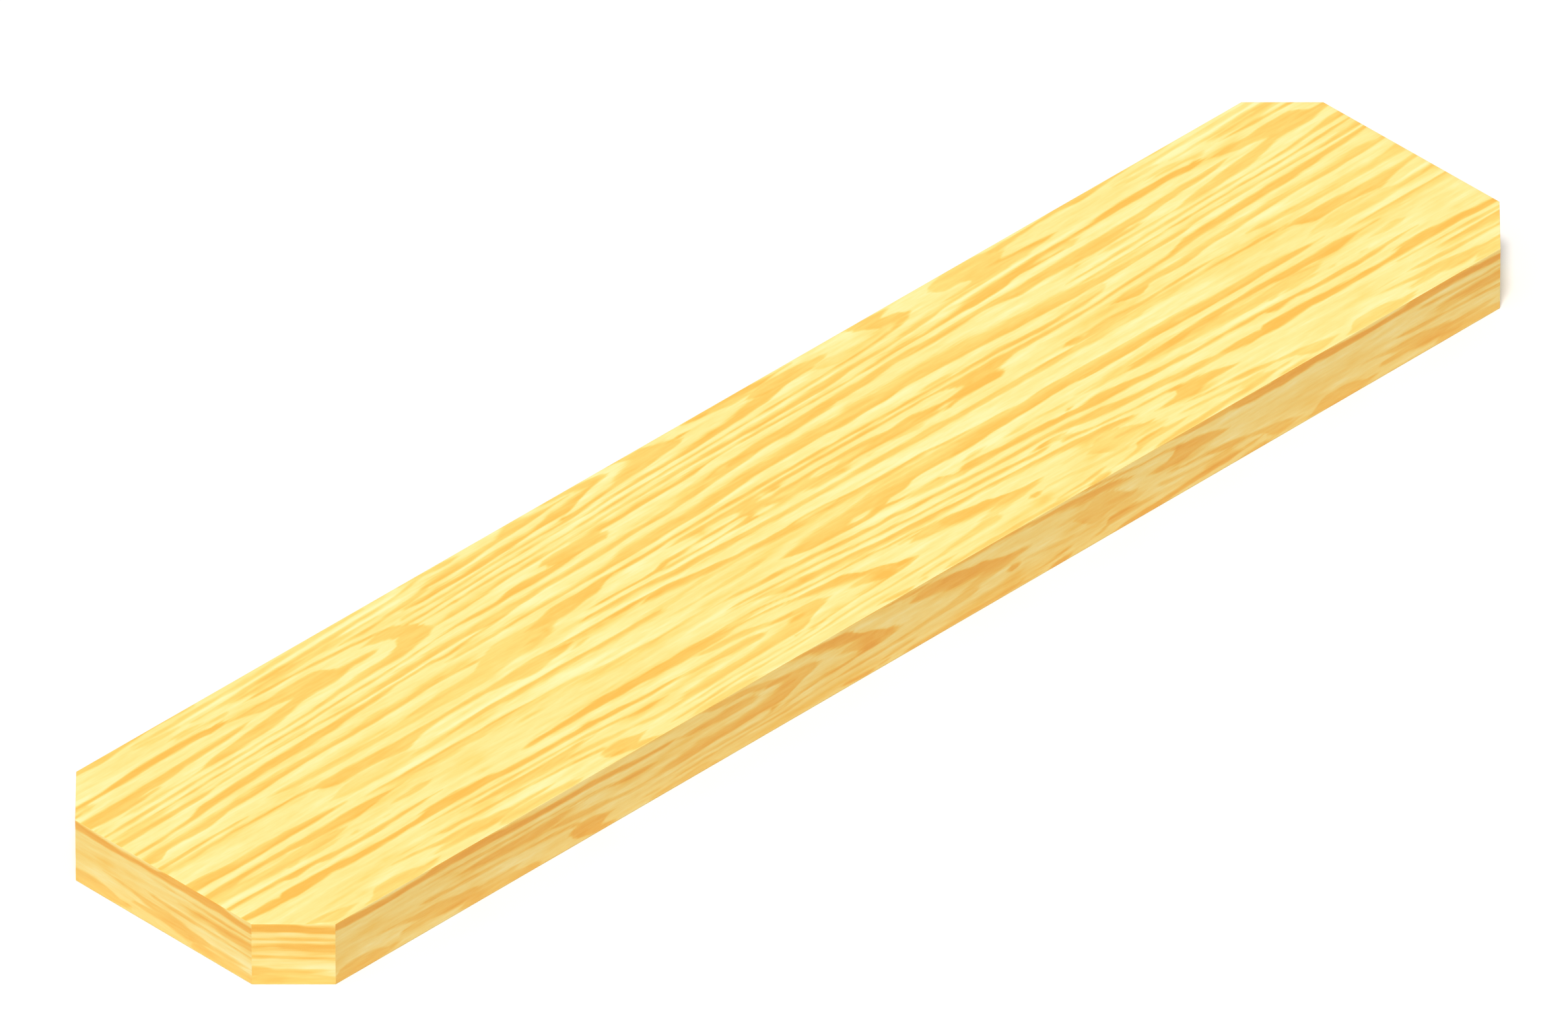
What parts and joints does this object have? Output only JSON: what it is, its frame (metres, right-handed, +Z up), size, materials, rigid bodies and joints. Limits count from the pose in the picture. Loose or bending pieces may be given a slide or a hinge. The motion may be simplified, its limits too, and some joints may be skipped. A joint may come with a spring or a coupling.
{
  "type": "timber plank",
  "caption": "Flat sawn softwood plank, rectangular in section, with its four corners cut off at 45 degrees.",
  "frame": {"origin": "middle of the underside", "axes": "+X along the length, +Y across the width, +Z up out of the wide face that lies uppermost"},
  "size_m": [1.204, 0.25, 0.05],
  "materials": {
    "sawn_pine": "matte"
  },
  "bodies": {
    "root": {"plank": "sawn_pine"}
  },
  "joints": []
}
